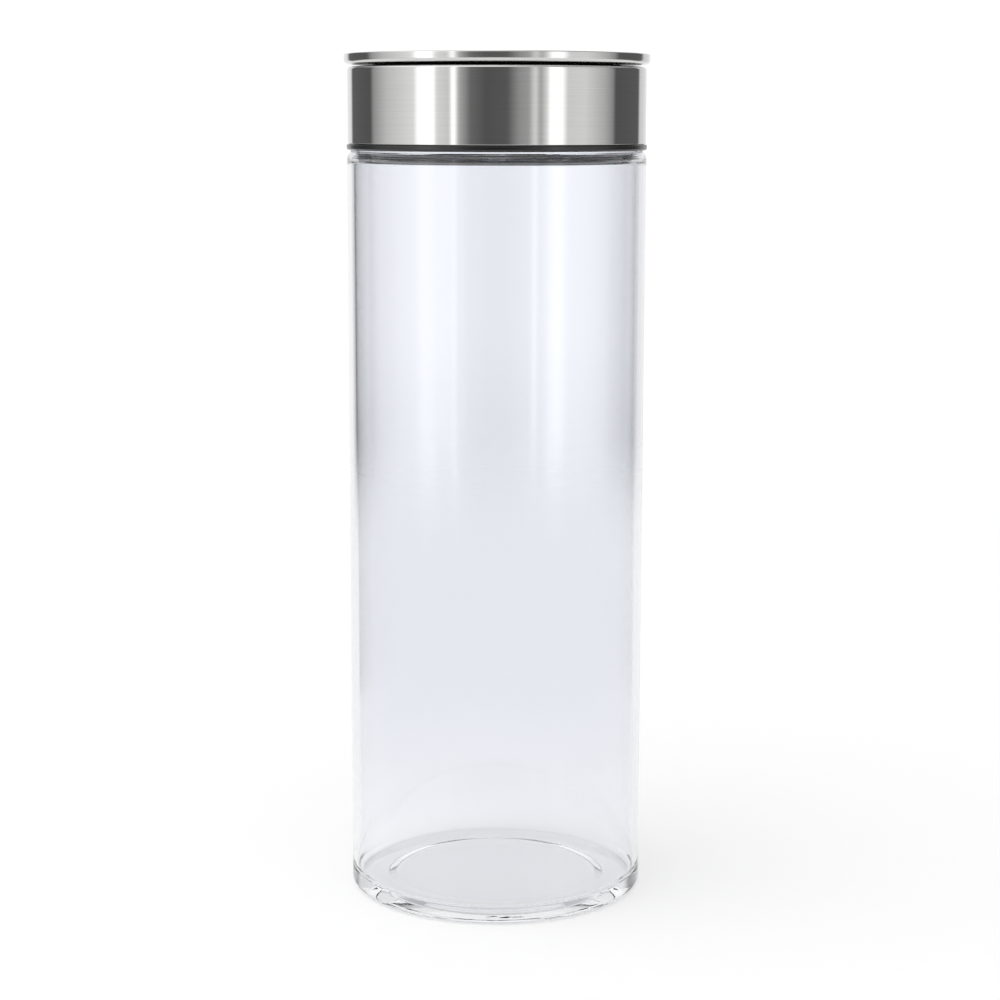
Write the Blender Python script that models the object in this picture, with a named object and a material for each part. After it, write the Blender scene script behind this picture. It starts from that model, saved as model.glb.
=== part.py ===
"""Lidded glass storage canister with a press-pump vacuum lid.

Metres, +Z up. The jar stands on Z = 0 and every turned piece shares the Z axis. The lid is
closed and its pump plunger is pressed down, as it stays while there is a vacuum in the jar.

Four groups move: the lid lifts off the jar, the plunger rises in the lid, the release button
sinks in the plunger, and the release valve sinks in the chamber floor under the button.
"""

import math

import bmesh
import bpy
from mathutils import Vector

# ---- shared sizes ----
GAP = 0.0003  # clearance between neighbouring pieces
ROUND = 40  # sides of the large turned pieces
SMALL_ROUND = 12  # sides of stems, screws, valves and holes
ARC_STEPS = 2  # straight steps in each rounded corner
SHARP_ANGLE = math.radians(35)

# ---- jar ----
JAR_RADIUS = 0.0500
JAR_WALL = 0.0028
FLOOR_TOP = 0.0042
PUSH_UP = 0.0012  # height of the hollow under the base
PUSH_UP_RADIUS = 0.0340
PUSH_UP_EDGE = 0.0030  # width and rounding of the slope round that hollow
BASE_CORNER = 0.0025
FLOOR_FILLET = 0.0040
SHOULDER_TOP = 0.2534
SHOULDER_ROUND = 0.0036
SHOULDER_INNER_LOW = 0.2496  # where the wall starts to turn in to the neck
SHOULDER_INNER_ROUND = 0.0040
NECK_RADIUS = 0.0473
NECK_WALL = 0.0026
NECK_INNER_LOW = 0.2524
NECK_INNER_ROUND = 0.0030
RIM_TOP = 0.2605
RIM_ROUND = 0.0012

# ---- lid housing, band and gasket ----
LID_BOTTOM = 0.2528
FOOT_RADIUS = 0.0501
FOOT_INNER = 0.0489
FOOT_TOP = 0.2546
FOOT_CORNER = 0.0008
SKIRT_RADIUS = 0.0490
SKIRT_INNER = 0.0477
SKIRT_INNER_LOW = 0.2540  # top of the slope that leads the lid onto the neck
DECK_LOW = 0.2640
DECK_HIGH = 0.2660
BORE_RADIUS = 0.0440
BORE_WALL = 0.0014
LIP_RADIUS = 0.0424  # opening that keeps the piston in
LIP_LOW = 0.2776
HOUSING_TOP = 0.2792
BAND_RADIUS = 0.0498
BAND_SHEET = 0.0005
BAND_TOP = 0.2800
BAND_HOLE = 0.0430
BAND_CORNER = 0.0010
GASKET_SHEET = 0.0015
GASKET_INNER = 0.0430
GASKET_PLUG = 0.0440  # outer radius of the part that hangs in the mouth
GASKET_HANG = 0.0048
GASKET_RIB = 0.0004  # how far each wiping rib stands out
GASKET_RIB_HALF = 0.0005
GASKET_RIBS = (0.0040, 0.0018)  # how far below the rim each rib is

# ---- chamber floor and its valves ----
FLOOR_PLATE = 0.0020
FLOOR_PLATE_LOW = 0.2637
FLOOR_FLANGE_LOW = 0.2626
FLOOR_FLANGE_RADIUS = 0.0465
FLOOR_RIM_TOP = 0.2672
FLOOR_RIM_INNER = 0.0410
FLOOR_RECESS = 0.0400  # radius of the shallow recess under the plate
VALVE_CUP_RADIUS = 0.0046
VALVE_CUP_WALL = 0.0016
VALVE_CUP_LOW = 0.2617
VALVE_CUP_HIGH = 0.2632
VALVE_SPOT = 0.0240  # distance of the two check valves from the axis
VALVE_CAP_RADIUS = 0.0050
VALVE_CAP_HEIGHT = 0.0012
VALVE_STEM_RADIUS = 0.0012
VALVE_BULB_RADIUS = 0.0019
VALVE_BULB = 0.0014
AIR_HOLE_RADIUS = 0.0010
AIR_HOLE_RING = 0.0032
AIR_HOLES = 4

# ---- seals: two equal rings in equal grooves ----
SEAL_OUTER = BORE_RADIUS - GAP
SEAL_SIDE = 0.0016
SEAL_ROUND = 0.0005
GROOVE_RADIUS = SEAL_OUTER - SEAL_SIDE - GAP
GROOVE_HEIGHT = SEAL_SIDE + 2 * GAP
FLOOR_GROOVE_LOW = FLOOR_RIM_TOP - 0.0005 - GROOVE_HEIGHT

# ---- plunger ----
STROKE = 0.0060
CORE_RADIUS = 0.0420
CORE_WALL = 0.0018
CORE_TOP = 0.2805
CORE_PLATE = 0.0020
PISTON_LOW = 0.2676
PISTON_RADIUS = 0.0436
STROKE_PLAY = 0.0002
PISTON_HIGH = LIP_LOW - STROKE - STROKE_PLAY
PISTON_GROOVE_LOW = PISTON_LOW + 0.0008
BOSS_RADIUS = 0.0050
BOSS_BORE = 0.0036
BOSS_LOW = 0.2705
BOSS_FLOOR = 0.0012
CAP_RADIUS = 0.0482
CAP_LOW = 0.2808
CAP_HIGH = 0.2831
CAP_HOLE = 0.0093
CAP_POCKET_RADIUS = 0.0065  # pocket above the exhaust valve
CAP_POCKET_TOP = 0.2824
DISC_RADIUS = 0.0509
DISC_TOP = 0.2842
DISC_SHEET = 0.0008
DISC_RIM_WIDTH = 0.0024
DISC_LOW_ROUND = 0.0011
DISC_HOLE = 0.0090
TOP_EDGE_ROUND = 0.0003
SCREW_RING = 0.0300
SCREW_COUNT = 3
SCREW_RADIUS = 0.0012
SCREW_HEAD_RADIUS = 0.0024
SCREW_HEAD = 0.0014
SCREW_TIP = 0.2823
SCREW_SOCKET = 0.0011

# ---- release button and valve ----
BUTTON_RADIUS = 0.0087
BUTTON_LOW = 0.2831
PIN_RADIUS = 0.0016
PIN_LOW = 0.2679
CLIP_LOW = 0.2691
CLIP_HIGH = 0.2699
CLIP_RADIUS = 0.0029
CLIP_GROOVE = 0.0012
RELEASE_HEAD_TOP = 0.2676
RELEASE_HEAD = 0.0009
RELEASE_HEAD_RADIUS = 0.0026
RELEASE_STEM_RADIUS = 0.0010
RELEASE_FOOT_RADIUS = 0.0020
RELEASE_FOOT = 0.0007
RELEASE_PLUG_RADIUS = 0.0032
RELEASE_PLUG = 0.0014

# ---- springs: coil radius and wire radius ----
RETURN_COIL = 0.0160
RETURN_WIRE = 0.0007
RETURN_TURNS = 5
BUTTON_COIL = 0.0026
BUTTON_WIRE = 0.0003
BUTTON_TURNS = 6
RELEASE_COIL = 0.0019
RELEASE_WIRE = 0.00025
RELEASE_TURNS = 4
SPRING_GUIDE = 0.0012  # thickness of the collar inside each end of the return spring
SPRING_PLAY = 0.0009  # clearance between those collars and the coils
COIL_STEPS = 12
WIRE_SIDES = 6

HOLE_RADIUS = PIN_RADIUS + GAP


def clear_scene():
    for thing in list(bpy.data.objects):
        bpy.data.objects.remove(thing, do_unlink=True)


def make_material(name, color, roughness, metallic=0.0, transmission=0.0):
    material = bpy.data.materials.new(name)
    material.use_nodes = True
    shader = material.node_tree.nodes["Principled BSDF"]
    shader.inputs["Base Color"].default_value = (*color, 1.0)
    shader.inputs["Roughness"].default_value = roughness
    shader.inputs["Metallic"].default_value = metallic
    shader.inputs["Transmission Weight"].default_value = transmission
    return material


def glass(name):
    return make_material(name, (0.93, 0.95, 0.97), 0.02, transmission=1.0)


def steel(name):
    return make_material(name, (0.62, 0.62, 0.61), 0.25, metallic=1.0)


def black_plastic(name):
    return make_material(name, (0.02, 0.02, 0.022), 0.4)


def silicone(name):
    return make_material(name, (0.75, 0.75, 0.74), 0.6)


def rounded(corners):
    """Outline points from (radius, height) corners; a third value rounds that corner."""
    points = []
    for index, corner in enumerate(corners):
        here = Vector(corner[:2])
        if len(corner) == 2:
            points.append(here)
            continue
        before = (Vector(corners[index - 1][:2]) - here).normalized()
        after = (Vector(corners[(index + 1) % len(corners)][:2]) - here).normalized()
        half_angle = before.angle(after) / 2
        centre = here + (before + after).normalized() * corner[2] / math.sin(half_angle)
        start = here + before * corner[2] / math.tan(half_angle) - centre
        end = here + after * corner[2] / math.tan(half_angle) - centre
        sweep = math.pi - 2 * half_angle
        for step in range(ARC_STEPS + 1):
            turn = sweep * step / ARC_STEPS
            blend = start * math.sin(sweep - turn) + end * math.sin(turn)
            points.append(centre + blend / math.sin(sweep))
    return points


def add_object(name, bm, material):
    bmesh.ops.recalc_face_normals(bm, faces=bm.faces)
    mesh = bpy.data.meshes.new(name)
    bm.to_mesh(mesh)
    bm.free()
    mesh.materials.append(material)
    mesh.shade_smooth()
    mesh.set_sharp_from_angle(angle=SHARP_ANGLE)
    thing = bpy.data.objects.new(name, mesh)
    bpy.context.scene.collection.objects.link(thing)
    return thing


def turned(name, corners, material, sides=ROUND, spot=(0.0, 0.0)):
    """Solid of revolution. An outline that starts and ends on the axis is left open there."""
    bm = bmesh.new()
    points = rounded(corners)
    ring = [bm.verts.new((radius, 0.0, height)) for radius, height in points]
    edges = [bm.edges.new(pair) for pair in zip(ring, ring[1:])]
    if points[0][0] > 0.0:
        edges.append(bm.edges.new((ring[-1], ring[0])))
    bmesh.ops.spin(bm, geom=ring + edges, axis=(0, 0, 1), cent=(0, 0, 0),
                   angle=math.tau, steps=sides, use_merge=True)
    bmesh.ops.remove_doubles(bm, verts=bm.verts, dist=1e-6)
    thing = add_object(name, bm, material)
    thing.location = (*spot, 0.0)
    return thing


def ring_spots(radius, count, centre=(0.0, 0.0)):
    """Points spaced evenly round a circle, from its +X side on."""
    angles = [math.tau * i / count for i in range(count)]
    return [(centre[0] + radius * math.cos(a), centre[1] + radius * math.sin(a)) for a in angles]


def cut_holes(target, label, holes, sides=SMALL_ROUND):
    """Cuts upright holes, each given as (x, y, radius, low end, high end), out of the target."""
    bm = bmesh.new()
    for x, y, radius, low, high in holes:
        made = bmesh.ops.create_cone(bm, cap_ends=True, segments=sides, radius1=radius,
                                     radius2=radius, depth=high - low)
        bmesh.ops.translate(bm, verts=made["verts"], vec=(x, y, (low + high) / 2))
    cutter = add_object(label, bm, target.data.materials[0])
    cutter.hide_render = True
    cutter.display_type = "WIRE"
    cut = target.modifiers.new(label, "BOOLEAN")
    cut.operation = "DIFFERENCE"
    cut.solver = "EXACT"
    cut.object = cutter


def spring(name, coil, wire, turns, low, high, material):
    """Coil spring between two heights, with its wire swept along a helix."""
    bm = bmesh.new()
    steps = turns * COIL_STEPS
    rise = high - low - 2 * wire
    slope = math.atan2(rise, math.tau * coil * turns)
    rings = []
    for step in range(steps + 1):
        angle = math.tau * step / COIL_STEPS
        outward = Vector((math.cos(angle), math.sin(angle), 0.0))
        along = Vector((-math.sin(angle), math.cos(angle), 0.0))
        upward = Vector((0.0, 0.0, 1.0)) * math.cos(slope) - along * math.sin(slope)
        centre = outward * coil + Vector((0.0, 0.0, low + wire + rise * step / steps))
        section = []
        for side in range(WIRE_SIDES):
            turn = math.tau * side / WIRE_SIDES
            offset = outward * math.cos(turn) + upward * math.sin(turn)
            section.append(bm.verts.new(centre + offset * wire))
        rings.append(section)
    for first, second in zip(rings, rings[1:]):
        for side in range(WIRE_SIDES):
            following = (side + 1) % WIRE_SIDES
            bm.faces.new((first[side], first[following], second[following], second[side]))
    bm.faces.new(rings[0])
    bm.faces.new(rings[-1])
    return add_object(name, bm, material)


def glass_jar():
    inner = JAR_RADIUS - JAR_WALL
    neck_inner = NECK_RADIUS - NECK_WALL
    return turned("glass_jar", [
        (0.0, PUSH_UP),
        (PUSH_UP_RADIUS, PUSH_UP, PUSH_UP_EDGE),
        (PUSH_UP_RADIUS + PUSH_UP_EDGE, 0.0, PUSH_UP_EDGE),
        (JAR_RADIUS, 0.0, BASE_CORNER),
        (JAR_RADIUS, SHOULDER_TOP, SHOULDER_ROUND),
        (NECK_RADIUS, SHOULDER_TOP),
        (NECK_RADIUS, RIM_TOP, RIM_ROUND),
        (neck_inner, RIM_TOP, RIM_ROUND),
        (neck_inner, NECK_INNER_LOW, NECK_INNER_ROUND),
        (inner, SHOULDER_INNER_LOW, SHOULDER_INNER_ROUND),
        (inner, FLOOR_TOP, FLOOR_FILLET),
        (0.0, FLOOR_TOP),
    ], glass("clear_glass"))


def lid_housing():
    return turned("lid_housing", [
        (FOOT_INNER, LID_BOTTOM),
        (FOOT_RADIUS, LID_BOTTOM, FOOT_CORNER),
        (FOOT_RADIUS, FOOT_TOP),
        (SKIRT_RADIUS, FOOT_TOP),
        (SKIRT_RADIUS, HOUSING_TOP),
        (SKIRT_INNER, HOUSING_TOP),
        (SKIRT_INNER, DECK_HIGH),
        (BORE_RADIUS + BORE_WALL, DECK_HIGH),
        (BORE_RADIUS + BORE_WALL, HOUSING_TOP),
        (LIP_RADIUS, HOUSING_TOP),
        (LIP_RADIUS, LIP_LOW),
        (BORE_RADIUS, LIP_LOW),
        (BORE_RADIUS, DECK_LOW),
        (SKIRT_INNER, DECK_LOW),
        (SKIRT_INNER, SKIRT_INNER_LOW),
    ], black_plastic("housing_black"))


def lid_band():
    inner = BAND_RADIUS - BAND_SHEET
    return turned("lid_band", [
        (inner, FOOT_TOP + GAP),
        (BAND_RADIUS, FOOT_TOP + GAP),
        (BAND_RADIUS, BAND_TOP, BAND_CORNER),
        (BAND_HOLE, BAND_TOP),
        (BAND_HOLE, BAND_TOP - BAND_SHEET),
        (inner, BAND_TOP - BAND_SHEET, BAND_CORNER - BAND_SHEET),
    ], steel("band_steel"))


def mouth_gasket():
    """Silicone ring on the glass rim, with two wiping ribs inside the mouth."""
    low = RIM_TOP + GAP
    corners = [(GASKET_INNER, low - GASKET_HANG), (GASKET_PLUG, low - GASKET_HANG)]
    for drop in GASKET_RIBS:
        corners += [
            (GASKET_PLUG, low - drop - GASKET_RIB_HALF),
            (GASKET_PLUG + GASKET_RIB, low - drop),
            (GASKET_PLUG, low - drop + GASKET_RIB_HALF),
        ]
    corners += [
        (GASKET_PLUG, low),
        (NECK_RADIUS, low),
        (NECK_RADIUS, low + GASKET_SHEET),
        (GASKET_INNER, low + GASKET_SHEET),
    ]
    return turned("mouth_gasket", corners, silicone("gasket_silicone"))


def check_valve_holes(x, low, high):
    """The stem hole and the ring of air holes that one umbrella check valve covers."""
    holes = [(x, 0.0, VALVE_STEM_RADIUS + GAP, low, high)]
    for spot in ring_spots(AIR_HOLE_RING, AIR_HOLES, centre=(x, 0.0)):
        holes.append((*spot, AIR_HOLE_RADIUS, low, high))
    return holes


def check_valve(name, x, plate_low, plate_high):
    """Umbrella valve: a thin cap above its plate, a stem through it and a bulb under it."""
    cap_low = plate_high + GAP
    bulb_top = plate_low - GAP
    return turned(name, [
        (0.0, cap_low + VALVE_CAP_HEIGHT),
        (VALVE_CAP_RADIUS, cap_low + GAP),
        (VALVE_CAP_RADIUS, cap_low),
        (VALVE_STEM_RADIUS, cap_low),
        (VALVE_STEM_RADIUS, bulb_top),
        (VALVE_BULB_RADIUS, bulb_top),
        (VALVE_STEM_RADIUS, bulb_top - VALVE_BULB),
        (0.0, bulb_top - VALVE_BULB),
    ], silicone(name + "_silicone"), sides=SMALL_ROUND, spot=(x, 0.0))


def chamber_floor():
    plate_high = FLOOR_PLATE_LOW + FLOOR_PLATE
    guide = RETURN_COIL - RETURN_WIRE - SPRING_PLAY
    floor = turned("chamber_floor", [
        (HOLE_RADIUS, VALVE_CUP_LOW),
        (HOLE_RADIUS, VALVE_CUP_HIGH),
        (VALVE_CUP_RADIUS, VALVE_CUP_HIGH),
        (VALVE_CUP_RADIUS, plate_high),
        (guide - SPRING_GUIDE, plate_high),
        (guide - SPRING_GUIDE, plate_high + SPRING_GUIDE),
        (guide, plate_high + SPRING_GUIDE),
        (guide, plate_high),
        (FLOOR_RIM_INNER, plate_high),
        (FLOOR_RIM_INNER, FLOOR_RIM_TOP),
        (SEAL_OUTER, FLOOR_RIM_TOP),
        (SEAL_OUTER, FLOOR_GROOVE_LOW + GROOVE_HEIGHT),
        (GROOVE_RADIUS, FLOOR_GROOVE_LOW + GROOVE_HEIGHT),
        (GROOVE_RADIUS, FLOOR_GROOVE_LOW),
        (SEAL_OUTER, FLOOR_GROOVE_LOW),
        (SEAL_OUTER, FLOOR_PLATE_LOW),
        (FLOOR_FLANGE_RADIUS, FLOOR_PLATE_LOW),
        (FLOOR_FLANGE_RADIUS, FLOOR_FLANGE_LOW),
        (FLOOR_RECESS, FLOOR_FLANGE_LOW),
        (FLOOR_RECESS, FLOOR_PLATE_LOW),
        (VALVE_CUP_RADIUS + VALVE_CUP_WALL, FLOOR_PLATE_LOW),
        (VALVE_CUP_RADIUS + VALVE_CUP_WALL, VALVE_CUP_LOW),
    ], black_plastic("floor_black"))
    holes = check_valve_holes(VALVE_SPOT, FLOOR_FLANGE_LOW, plate_high + SPRING_GUIDE)
    cut_holes(floor, "intake_holes_cutter", holes)
    return floor


def seal_ring(name, groove_low, material):
    low = groove_low + GAP
    inner = SEAL_OUTER - SEAL_SIDE
    return turned(name, [
        (inner, low),
        (SEAL_OUTER, low, SEAL_ROUND),
        (SEAL_OUTER, low + SEAL_SIDE, SEAL_ROUND),
        (inner, low + SEAL_SIDE),
    ], material)


def plunger_core():
    """Piston cup with a groove for its seal and a central boss that guides the button's pin."""
    plate_low = CORE_TOP - CORE_PLATE
    inner = CORE_RADIUS - CORE_WALL
    guide = RETURN_COIL - RETURN_WIRE - SPRING_PLAY
    core = turned("plunger_core", [
        (HOLE_RADIUS, BOSS_LOW),
        (HOLE_RADIUS, BOSS_LOW + BOSS_FLOOR),
        (BOSS_BORE, BOSS_LOW + BOSS_FLOOR),
        (BOSS_BORE, CORE_TOP),
        (CORE_RADIUS, CORE_TOP),
        (CORE_RADIUS, PISTON_HIGH),
        (PISTON_RADIUS, PISTON_HIGH),
        (PISTON_RADIUS, PISTON_GROOVE_LOW + GROOVE_HEIGHT),
        (GROOVE_RADIUS, PISTON_GROOVE_LOW + GROOVE_HEIGHT),
        (GROOVE_RADIUS, PISTON_GROOVE_LOW),
        (PISTON_RADIUS, PISTON_GROOVE_LOW),
        (PISTON_RADIUS, PISTON_LOW),
        (inner, PISTON_LOW),
        (inner, plate_low),
        (guide, plate_low),
        (guide, plate_low - SPRING_GUIDE),
        (guide - SPRING_GUIDE, plate_low - SPRING_GUIDE),
        (guide - SPRING_GUIDE, plate_low),
        (BOSS_RADIUS, plate_low),
        (BOSS_RADIUS, BOSS_LOW),
    ], black_plastic("core_black"))
    low = plate_low - SPRING_GUIDE
    high = CORE_TOP + SPRING_GUIDE
    holes = check_valve_holes(-VALVE_SPOT, low, high)
    for spot in screw_spots():
        holes.append((*spot, SCREW_RADIUS + GAP, low, high))
    cut_holes(core, "core_holes_cutter", holes)
    return core


def screw_spots():
    return ring_spots(SCREW_RING, SCREW_COUNT)


def plunger_cap():
    """Black plate inside the steel disc, screwed to the core from below."""
    cap = turned("plunger_cap", [
        (CAP_HOLE, CAP_LOW),
        (CAP_RADIUS, CAP_LOW),
        (CAP_RADIUS, CAP_HIGH),
        (CAP_HOLE, CAP_HIGH),
    ], black_plastic("cap_black"))
    below = CAP_LOW - SCREW_HEAD
    holes = [(-VALVE_SPOT, 0.0, CAP_POCKET_RADIUS, below, CAP_POCKET_TOP)]
    for spot in screw_spots():
        holes.append((*spot, SCREW_RADIUS + GAP, below, SCREW_TIP + GAP))
    cut_holes(cap, "cap_holes_cutter", holes)
    return cap


def top_disc():
    rim_inner = DISC_RADIUS - DISC_RIM_WIDTH
    return turned("top_disc", [
        (DISC_HOLE, DISC_TOP - DISC_SHEET),
        (DISC_HOLE, DISC_TOP),
        (DISC_RADIUS, DISC_TOP, TOP_EDGE_ROUND),
        (DISC_RADIUS, CAP_LOW, DISC_LOW_ROUND),
        (rim_inner, CAP_LOW),
        (rim_inner, DISC_TOP - DISC_SHEET),
    ], steel("disc_steel"))


def cap_screws():
    head_top = CORE_TOP - CORE_PLATE - GAP
    screws = []
    for index, spot in enumerate(screw_spots(), 1):
        screw = turned(f"cap_screw_{index}", [
            (0.0, head_top - SCREW_HEAD),
            (SCREW_HEAD_RADIUS, head_top - SCREW_HEAD),
            (SCREW_HEAD_RADIUS, head_top),
            (SCREW_RADIUS, head_top),
            (SCREW_RADIUS, SCREW_TIP - SCREW_RADIUS),
            (0.0, SCREW_TIP),
        ], steel(f"screw_steel_{index}"), sides=SMALL_ROUND, spot=spot)
        socket_low = head_top - 2 * SCREW_HEAD
        socket_high = head_top - SCREW_HEAD / 2
        socket = [(*spot, SCREW_SOCKET, socket_low, socket_high)]
        cut_holes(screw, f"screw_socket_cutter_{index}", socket, sides=6)
        screws.append(screw)
    return screws


def release_button():
    """Flush steel button on a pin, with a groove near the pin's end for its clip."""
    return turned("release_button", [
        (0.0, PIN_LOW),
        (PIN_RADIUS, PIN_LOW),
        (PIN_RADIUS, CLIP_LOW - GAP),
        (CLIP_GROOVE, CLIP_LOW - GAP),
        (CLIP_GROOVE, CLIP_HIGH + GAP),
        (PIN_RADIUS, CLIP_HIGH + GAP),
        (PIN_RADIUS, BUTTON_LOW),
        (BUTTON_RADIUS, BUTTON_LOW),
        (BUTTON_RADIUS, DISC_TOP, TOP_EDGE_ROUND),
        (0.0, DISC_TOP),
    ], steel("button_steel"), sides=32)


def button_clip():
    return turned("button_clip", [
        (CLIP_GROOVE + GAP, CLIP_LOW),
        (CLIP_RADIUS, CLIP_LOW),
        (CLIP_RADIUS, CLIP_HIGH),
        (CLIP_GROOVE + GAP, CLIP_HIGH),
    ], steel("clip_steel"), sides=SMALL_ROUND)


def release_stem():
    """Push rod of the release valve: a head above the floor and a foot that holds the plug."""
    head_low = RELEASE_HEAD_TOP - RELEASE_HEAD
    foot_top = VALVE_CUP_LOW - GAP - RELEASE_PLUG - GAP
    return turned("release_stem", [
        (0.0, RELEASE_HEAD_TOP),
        (RELEASE_HEAD_RADIUS, RELEASE_HEAD_TOP),
        (RELEASE_HEAD_RADIUS, head_low),
        (RELEASE_STEM_RADIUS, head_low),
        (RELEASE_STEM_RADIUS, foot_top),
        (RELEASE_FOOT_RADIUS, foot_top),
        (RELEASE_FOOT_RADIUS, foot_top - RELEASE_FOOT),
        (0.0, foot_top - RELEASE_FOOT),
    ], black_plastic("stem_black"), sides=SMALL_ROUND)


def release_plug():
    top = VALVE_CUP_LOW - GAP
    return turned("release_plug", [
        (RELEASE_STEM_RADIUS + GAP, top - RELEASE_PLUG),
        (RELEASE_PLUG_RADIUS, top - RELEASE_PLUG),
        (RELEASE_PLUG_RADIUS, top),
        (RELEASE_STEM_RADIUS + GAP, top),
    ], silicone("plug_silicone"), sides=SMALL_ROUND)


def springs():
    plate_high = FLOOR_PLATE_LOW + FLOOR_PLATE
    plate_low = CORE_TOP - CORE_PLATE
    head_low = RELEASE_HEAD_TOP - RELEASE_HEAD
    return [
        spring("return_spring", RETURN_COIL, RETURN_WIRE, RETURN_TURNS,
               plate_high + GAP, plate_low - GAP, steel("return_spring_steel")),
        spring("button_spring", BUTTON_COIL, BUTTON_WIRE, BUTTON_TURNS,
               BOSS_LOW + BOSS_FLOOR + GAP, BUTTON_LOW - GAP, steel("button_spring_steel")),
        spring("release_spring", RELEASE_COIL, RELEASE_WIRE, RELEASE_TURNS,
               VALVE_CUP_HIGH + GAP, head_low - GAP, steel("release_spring_steel")),
    ]


def joint_empty(name, height, pieces):
    """Empty on a slide's axis; the pieces that slide together are its children."""
    empty = bpy.data.objects.new(name, None)
    empty.location = (0.0, 0.0, height)
    bpy.context.scene.collection.objects.link(empty)
    bpy.context.view_layer.update()
    for piece in pieces:
        piece.parent = empty
        piece.matrix_parent_inverse = empty.matrix_world.inverted()
    return empty


def build():
    clear_scene()
    glass_jar()
    return_spring, button_spring, release_spring = springs()
    plate_high = FLOOR_PLATE_LOW + FLOOR_PLATE
    floor_seal = seal_ring("floor_seal", FLOOR_GROOVE_LOW, silicone("floor_seal_silicone"))
    intake = check_valve("intake_valve", VALVE_SPOT, FLOOR_PLATE_LOW, plate_high)
    lid_pieces = [lid_housing(), lid_band(), mouth_gasket(), chamber_floor(), floor_seal,
                  intake, return_spring, release_spring]
    piston_seal = seal_ring("piston_seal", PISTON_GROOVE_LOW, silicone("piston_seal_silicone"))
    exhaust = check_valve("exhaust_valve", -VALVE_SPOT, CORE_TOP - CORE_PLATE, CORE_TOP)
    plunger_pieces = [plunger_core(), piston_seal, exhaust, plunger_cap(), top_disc(),
                      button_spring, *cap_screws()]
    button = joint_empty("button_joint", DISC_TOP, [release_button(), button_clip()])
    valve = joint_empty("valve_joint", RELEASE_HEAD_TOP, [release_stem(), release_plug()])
    plunger = joint_empty("plunger_joint", CORE_TOP, [*plunger_pieces, button])
    joint_empty("lid_joint", RIM_TOP, [*lid_pieces, plunger, valve])


build()
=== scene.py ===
"""Looks of the lidded glass canister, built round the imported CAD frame.

Every turned piece is rebuilt at full smoothness from its own outline, in the place its CAD
node holds, and gets a procedural material. The studio is a pale floor and a soft sky whose
brightness changes round the horizon, as panels and screens round a product table do.
"""

import math

import bmesh
import bpy
from mathutils import Euler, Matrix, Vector


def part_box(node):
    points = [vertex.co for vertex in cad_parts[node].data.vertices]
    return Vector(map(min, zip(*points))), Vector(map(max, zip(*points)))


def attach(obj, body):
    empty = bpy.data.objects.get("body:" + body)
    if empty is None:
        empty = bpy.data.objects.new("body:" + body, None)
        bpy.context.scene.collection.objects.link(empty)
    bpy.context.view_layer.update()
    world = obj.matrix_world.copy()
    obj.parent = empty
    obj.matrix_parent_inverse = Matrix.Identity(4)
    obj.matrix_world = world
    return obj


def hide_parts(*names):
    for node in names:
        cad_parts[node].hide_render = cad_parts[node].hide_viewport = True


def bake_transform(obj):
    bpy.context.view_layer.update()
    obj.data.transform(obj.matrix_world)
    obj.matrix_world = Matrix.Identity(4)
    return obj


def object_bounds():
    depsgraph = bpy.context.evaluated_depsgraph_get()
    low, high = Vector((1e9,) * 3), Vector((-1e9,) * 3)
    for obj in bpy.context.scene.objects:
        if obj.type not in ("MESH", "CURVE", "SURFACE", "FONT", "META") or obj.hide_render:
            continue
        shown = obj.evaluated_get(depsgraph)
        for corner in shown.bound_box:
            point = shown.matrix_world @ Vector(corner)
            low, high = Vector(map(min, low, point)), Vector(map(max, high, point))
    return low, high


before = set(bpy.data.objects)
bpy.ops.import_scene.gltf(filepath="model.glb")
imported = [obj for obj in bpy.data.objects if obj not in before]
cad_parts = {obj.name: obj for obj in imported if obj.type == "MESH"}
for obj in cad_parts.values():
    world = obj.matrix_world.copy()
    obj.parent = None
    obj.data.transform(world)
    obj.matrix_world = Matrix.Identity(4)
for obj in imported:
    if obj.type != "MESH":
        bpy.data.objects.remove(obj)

CAD_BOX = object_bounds()
SCREWS = (1, 2, 3)

# ---- camera: where it stands and how its lens looks ----
CAMERA_DISTANCE = 0.7716
CAMERA_HEIGHT = 0.2645
CAMERA_PITCH = math.radians(9.092)
CAMERA_ROLL = math.radians(0.101)
CAMERA_LENS = 82.24
CAMERA_SENSOR = 36.0
CAMERA_NEAREST = 0.01
CAMERA_SHIFT = (0.0038, -0.0200)

# ---- studio ----
FLOOR_RADIUS = 1.30
FLOOR_FADE = (0.60, 1.20)  # radii between which the floor gives way to the backdrop
FLOOR_SIDES = 128
FLOOR_DROP = 0.0002  # how far it lies below the jar, so that the two faces don't meet
FLOOR_COLOR = 0.52  # lit table: part of its light comes through it
FLOOR_GLOW = 0.57
BACKDROP_WHITE = 1.05  # what the lens sees behind the object
THROUGH_GLASS = 1.03  # and what it sees through clear glass
KEY_DIRECTION = (-0.60, -0.50, 0.62)  # middle of the soft light overhead
KEY_REACH = (0.25, 0.95)  # cosines of the angle to it, between which it swells
DOME_LIGHT = (0.50, 1.45)
DOME_RISE = (0.22, 0.50)  # sines of elevation between which the dome takes over from the horizon
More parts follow.
